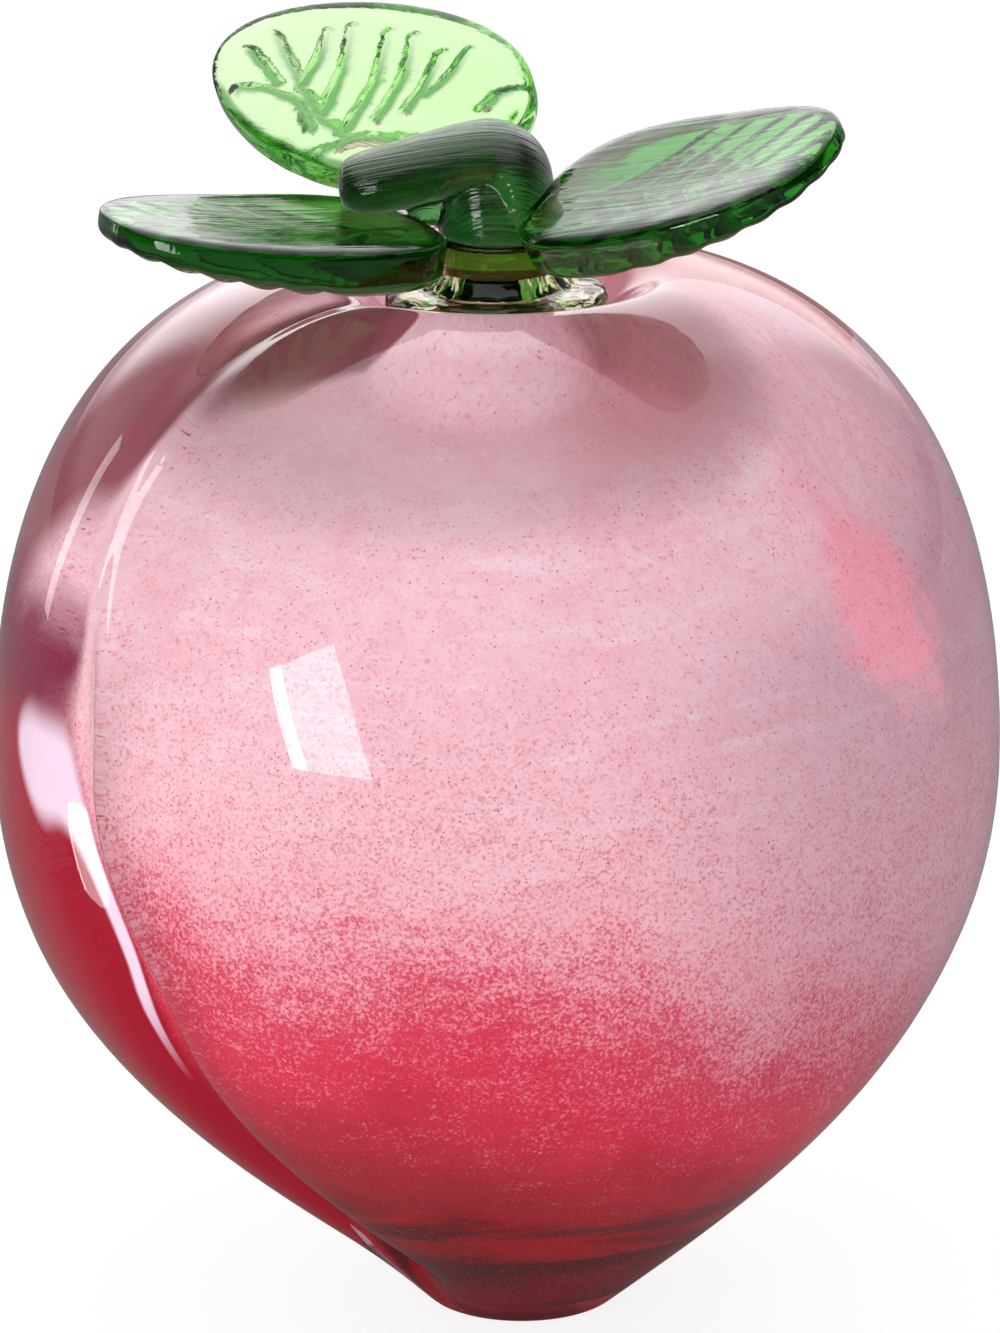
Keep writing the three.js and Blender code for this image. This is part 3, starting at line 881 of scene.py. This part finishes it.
def leaf_section(rings, rim_rings):
    """Half the cross-section of a leaf of radius 1 and half-thickness 1, evenly spaced, round at the rim."""
    power = leaf_rim_fullness
    low = [share / rings * leaf_rim_start for share in range(rings)]
    side = [1 - (1 - leaf_rim_start) * (1 - share / rim_rings) ** 2 for share in range(rim_rings)]
    reach = low + side
    lift = [(1 - r**power) ** (1 / power) for r in reach]
    bottom = [Vector((r, 0, -z)) for r, z in zip(reach, lift)]
    top = [Vector((r, 0, z)) for r, z in zip(reach, lift)]
    return bottom + [Vector((1, 0, 0))] + top[::-1]


def beside_line(point, start, end):
    """How far a point lies from a vein, and how far along the vein it lies, as a share."""
    line = end - start
    share = min(max((point - start).dot(line) / line.length_squared, 0), 1)
    return (point - start - line * share).length, share


def feather_veins(length):
    """A straight midrib with slanting veins on both sides."""
    veins = [(Vector((vein_start / 2, 0)), Vector((length, 0)), 1.0, 0.5)]
    for number in range(veins_per_side):
        start = Vector((vein_start + number * vein_spacing, 0))
        for side in (-1, 1):
            slant = Vector((math.cos(vein_angle), side * math.sin(vein_angle)))
            veins.append((start, start + slant * leaf_width, 1.0, 0.5))
    return veins


def drawn_veins(lines):
    """Veins that follow lines of points in the leaf's plan, in millimetres, and thin out towards their ends."""
    veins = []
    for line in lines:
        points = [Vector(point) * mm for point in line]
        for number in range(len(points) - 1):
            thick = [1 - 0.5 * (number + step) / (len(points) - 1) for step in (0, 1)]
            veins.append((points[number], points[number + 1], *thick))
    return veins


def pressed_leaf(length, veins, thickness, bluntness):
    """A leaf that lies along X from its root, with its veins pressed in from below."""
    leaf = revolve(leaf_section(leaf_rings, leaf_rim_rings), leaf_steps)
    vein_and_rim_shade_mark = leaf.verts.layers.float.new("vein press and rim shade")
    random.seed(7)
    phases = [random.uniform(0, math.tau) for _ in veins]
    for point in leaf.verts:
        radius = point.co.xy.length
        squared = (abs(point.co.x) ** bluntness + abs(point.co.y) ** bluntness) ** (1 / bluntness)
        wide = radius / max(squared, 1e-9)
        across = point.co.y * wide * (1 + leaf_egg * point.co.x)
        plan = Vector((length * (1 + point.co.x * wide) / 2, leaf_width * across / 2))
        lift = blend(thickness, leaf_tip_thickness, (plan.x / length) ** 2) / 2 * point.co.z
        press = 0
        if point.co.z < 0.3:
            for (start, end, deep, shallow), phase in zip(veins, phases):
                wander = math.sin(plan.length / wander_along + phase) * math.sin(plan.y / wander_aside + phase)
                distance, share = beside_line(plan, start, end)
                distance += vein_wander * wander
                cut = vein_depth * blend(deep, shallow, share) * math.exp(-((distance / vein_width) ** 2))
                press = max(press, cut)
            press *= 1 - vein_rim_loss * smooth_step(radius, 0.84, 0.96)
            press *= 1 - smooth_step(point.co.z, -0.5, 0.3)
        # Painted shade: a darker band along the far rim, kept in the same mark as the vein press.
        rim_shade = smooth_step(radius, 0.86, 0.95) * smooth_step(plan.y, 2 * mm, 6 * mm) * rim_shade_strength
        point[vein_and_rim_shade_mark] = max(press / vein_depth, rim_shade)
        along = plan.x / length - 0.5
        side = 2 * plan.y / leaf_width
        lift += press + leaf_sag * (4 * along * along - 1) + leaf_cup * side * side
        point.co = Vector((plan.x, plan.y, lift))
    plan_map = leaf.loops.layers.uv.new("leaf plan")
    for face in leaf.faces:
        for corner in face.loops:
            corner[plan_map].uv = (corner.vert.co.x / length, corner.vert.co.y / length)
    bmesh.ops.recalc_face_normals(leaf, faces=leaf.faces)
    return leaf


def leaf_finish(name, base, vein_and_rim_shade_colour, soak_colour, density):
    """Green glass in fine drawn lines from root to tip, another green on its veins, and painted shade on its far
    rim.
    """
    material, tree, shader, out = new_finish(name, IOR=1.52, Transmission_Weight=1.0)
    place = add_node(tree, "TexCoord").outputs["Object"]
    pressed = add_node(tree, "Attribute", attribute_name="vein press and rim shade").outputs["Fac"]
    veined_and_rim_shaded = mixed(tree, ramp(tree, pressed, 0.35, 0.75), base, vein_and_rim_shade_colour)
    tree.links.new(veined_and_rim_shaded, shader.inputs["Base Color"])
    plan = add_node(tree, "UVMap", uv_map="leaf plan").outputs[0]
    axes = add_node(tree, "SeparateXYZ", {0: plan}).outputs
    along = sums(tree, "MULTIPLY", axes["X"], leaf_length)
    across = sums(tree, "MULTIPLY", axes["Y"], leaf_length)
    add_haze(tree, shader, place, clean=0.0, dull=0.06)
    lines = grouped(tree, drawn_lines, {"Along": along, "Across": across, "Line Width": leaf_line_width})["Height"]
    waviness = grouped(tree, hand_waves, {"Vector": place, "Wave Length": leaf_wave_length})["Height"]
    add_relief(tree, shader, sums(tree, "MULTIPLY_ADD", waviness, leaf_wave_share, lines), leaf_relief_depth)
    add_absorption(tree, out, soak_colour, density)
    return material


def hung_leaf(name, material, leaf, seat, reach, height, heading, rise, roll):
    """Sets a leaf's root beside the post, with its heading, rise and roll in degrees."""
    angle = math.radians(seat)
    turn = Euler((math.radians(roll), -math.radians(rise), math.radians(heading)), "XYZ").to_matrix().to_4x4()
    root = Vector((crown_x + reach * math.cos(angle), reach * math.sin(angle), post_top + height))
    bmesh.ops.transform(leaf, matrix=Matrix.Translation(root) @ turn, verts=leaf.verts)
    return finished(leaf, name.replace("leaf", "leaf_blade"), material, name)


leaf_glass = leaf_finish("leaf glass", leaf_green, leaf_vein_and_rim_shade_green, leaf_shade, leaf_density)
pale_leaf_glass = leaf_finish("pale leaf glass", pale_green, pale_vein_and_rim_shade_green, pale_shade, pale_density)
back_leaf_veins = drawn_veins([
    [(4, 2.5), (13.6, 5.0), (16.9, 4.2), (22.6, 0.3), (26.3, -2.4), (30, -4)],
    [(21.1, 1.0), (21.5, -2.0), (22.8, -4.8)],
    [(17.2, 3.7), (18.8, -1.5), (21.2, -6.1)],
    [(14.2, 4.0), (15.4, -1.5), (17.9, -6.7)],
    [(12.6, 2.1), (13.4, -2.6), (15.6, -7.2)],
    [(11.0, 0.2), (11.3, -3.0), (12.2, -6.3)],
    [(10.5, -1.9), (9.8, -4.6), (10.0, -7.2)],
    [(17.0, 5.3), (19.8, 3.1), (23.6, 2.9), (25.3, 4.0), (24.8, 6.3), (21.7, 8.3)],
    [(23.1, 1.9), (27.0, 0.0), (29.8, -0.4)],
    [(13.0, 5.2), (15.2, 8.8)],
    [(8.6, 4.0), (10.0, 8.6)],
    [(4.4, -2.1), (4.3, -3.6), (3.0, -4.4)],
])
left_reach = post_radius + left_leaf_stand_off
right_reach = post_radius - leaf_root_reach
back_reach = knuckle_radius - back_leaf_root_reach
hung_leaf(
    "left_leaf", leaf_glass,
    pressed_leaf(leaf_length, feather_veins(leaf_length), leaf_thickness, leaf_bluntness),
    seat=203, reach=left_reach, height=-0.1 * mm, heading=203, rise=8, roll=-2,
)
hung_leaf(
    "right_leaf", leaf_glass,
    pressed_leaf(leaf_length, feather_veins(leaf_length), leaf_thickness, leaf_bluntness),
    seat=-34, reach=right_reach, height=2.5 * mm, heading=-34, rise=17, roll=20,
)
hung_leaf(
    "back_leaf", pale_leaf_glass,
    pressed_leaf(back_leaf_length, back_leaf_veins, back_leaf_thickness, back_leaf_bluntness),
    seat=66, reach=back_reach, height=back_leaf_height, heading=143, rise=7, roll=-30,
)

# Floor.
# A plain pale sweep that shows white, and keeps the shadow of the object and the colour that it throws.
floor_white = (0.86, 0.86, 0.86, 1)
floor_radius = 4
floor_glow = 1.12
floor_glow_share = 0.75
glass_gain = 0.8
floor_mirror_loss = -0.97

# Masks for light that has scattered inside the glass and for light that a shiny face mirrors.
glass_light, given, put = new_group(
    "light in glass", {}, {"Inside": "NodeSocketFloat", "Mirrored": "NodeSocketFloat"}
)
rays = add_node(glass_light, "LightPath").outputs
scattered = sums(glass_light, "GREATER_THAN", rays["Diffuse Depth"], 0.5)
glass_light.links.new(product(glass_light, rays["Is Transmission Ray"], scattered), put["Inside"])
mirrors = sums(glass_light, "SUBTRACT", rays["Is Glossy Ray"], rays["Is Transmission Ray"], clamp=True)
glass_light.links.new(mirrors, put["Mirrored"])

sweep, tree, shader, out = new_finish("pale sweep", Base_Color=floor_white, Roughness=0.8)
rays = add_node(tree, "LightPath").outputs
light = grouped(tree, glass_light, {})
glow = sums(tree, "MULTIPLY_ADD", light["Inside"], glass_gain, floor_glow)
glow = product(tree, glow, sums(tree, "MULTIPLY_ADD", light["Mirrored"], floor_mirror_loss, 1.0))
white = add_node(tree, "Emission", {"Color": (1, 1, 1, 1), "Strength": glow})
seen = sums(tree, "MAXIMUM", rays["Is Glossy Ray"], rays["Is Transmission Ray"])
seen = sums(tree, "MAXIMUM", rays["Is Camera Ray"], seen)
share = sums(tree, "MULTIPLY", seen, floor_glow_share)
shown = add_node(tree, "MixShader", {0: share, 1: shader.outputs[0], 2: white.outputs[0]})
tree.links.new(shown.outputs[0], out.inputs["Surface"])
ground = bmesh.new()
bmesh.ops.create_circle(ground, cap_ends=True, segments=96, radius=floor_radius)
floor_mesh = bpy.data.meshes.new("floor")
ground.to_mesh(floor_mesh)
ground.free()
floor_mesh.materials.append(sweep)
floor = bpy.data.objects.new("floor", floor_mesh)
bpy.context.collection.objects.link(floor)

# Light and camera.
# An even room, dimmer at the right, that the glass mirrors as a dark one with a far window and a bright ceiling.
# Two upright softboxes overlap at the left of the camera, a weaker one stands behind on that side, and the lens is
# long.
far_window_light = 1.4
ceiling_light = 1.2
far_wall_light = 0.8
near_wall_light = 0.1
curtain_light = 0.2
right_hand_loss = -0.28

world = bpy.data.worlds.new("room")
bpy.context.scene.world = world
world.use_nodes = True
tree = world.node_tree
tree.nodes.clear()
rays = add_node(tree, "LightPath").outputs
light = grouped(tree, glass_light, {})
facing = add_node(tree, "SeparateXYZ", {0: add_node(tree, "TexCoord").outputs["Generated"]}).outputs
overhead = ramp(tree, facing["Z"], 0.35, 0.9, 1.0, 0.6)
walls = product(tree, ramp(tree, facing["Y"], 0.75, 1.0, near_wall_light, far_wall_light), overhead)
far_window = ramp(tree, facing["Y"], 0.45, 0.75, 0.0, far_window_light)
far_window = product(tree, far_window, ramp(tree, facing["Z"], 0.02, 0.15))
curtains = ramp(tree, sums(tree, "ABSOLUTE", facing["X"]), 0.34, 0.5, 1.0, curtain_light)
ceiling = ramp(tree, facing["Z"], 0.55, 0.9, 0.0, ceiling_light)
mirrored = sums(tree, "MULTIPLY_ADD", sums(tree, "ADD", walls, far_window), curtains, ceiling)
level = sums(tree, "MULTIPLY_ADD", light["Mirrored"], sums(tree, "SUBTRACT", mirrored, 1.0), 1.0)
level = sums(tree, "MULTIPLY_ADD", light["Inside"], glass_gain, level)
level = product(tree, level, sums(tree, "MULTIPLY_ADD", facing["X"], right_hand_loss, 1.0))
level = sums(tree, "MAXIMUM", level, rays["Is Camera Ray"])
sky = add_node(tree, "Background", {"Color": (1, 1, 1, 1), "Strength": level})
tree.links.new(sky.outputs[0], add_node(tree, "OutputWorld").inputs["Surface"])


def softbox(name, azimuth, height_angle, distance, width, height, radiance, turn):
    """A flat lamp that faces the peach. Azimuth is from the camera's side towards the left, in degrees."""
    around, up, roll = math.radians(azimuth), math.radians(height_angle), math.radians(turn)
    away = Vector((-math.sin(around) * math.cos(up), -math.cos(around) * math.cos(up), math.sin(up)))
    lamp = bpy.data.lights.new(name, "AREA")
    lamp.shape = "RECTANGLE"
    lamp.size = width
    lamp.size_y = height
    lamp.energy = radiance * width * height * math.pi
    piece = bpy.data.objects.new(name, lamp)
    facing_peach = away.to_track_quat("Z", "Y").to_matrix() @ Matrix.Rotation(roll, 3, "Z")
    piece.rotation_euler = facing_peach.to_euler()
    piece.location = Vector((0, 0, widest_height)) + away * distance
    bpy.context.collection.objects.link(piece)


softbox("key", azimuth=35, height_angle=-4, distance=0.9, width=0.24, height=0.70, radiance=6.0, turn=28)
softbox("strip", azimuth=41.5, height_angle=-7, distance=0.88, width=0.05, height=0.68, radiance=9.0, turn=28)
softbox("side", azimuth=122, height_angle=4, distance=0.9, width=0.10, height=0.6, radiance=2.5, turn=8)

camera_elevation = math.radians(16.5)
camera_distance = 620 * mm
camera_rise = 6.5 * mm
aim = Vector((-1.75 * mm, 0, 46 * mm))
sight = Vector((0, math.cos(camera_elevation), -math.sin(camera_elevation)))
upward = Vector((0, math.sin(camera_elevation), math.cos(camera_elevation)))
camera_data = bpy.data.cameras.new("camera")
camera_data.lens = 210.1
camera_data.clip_start = 0.01
camera_data.clip_end = 50
camera = bpy.data.objects.new("camera", camera_data)
camera.location = aim + upward * camera_rise - sight * camera_distance
camera.rotation_euler = (math.pi / 2 - camera_elevation, 0, 0)
bpy.context.collection.objects.link(camera)
bpy.context.scene.camera = camera
bpy.context.scene.view_settings.view_transform = "Standard"
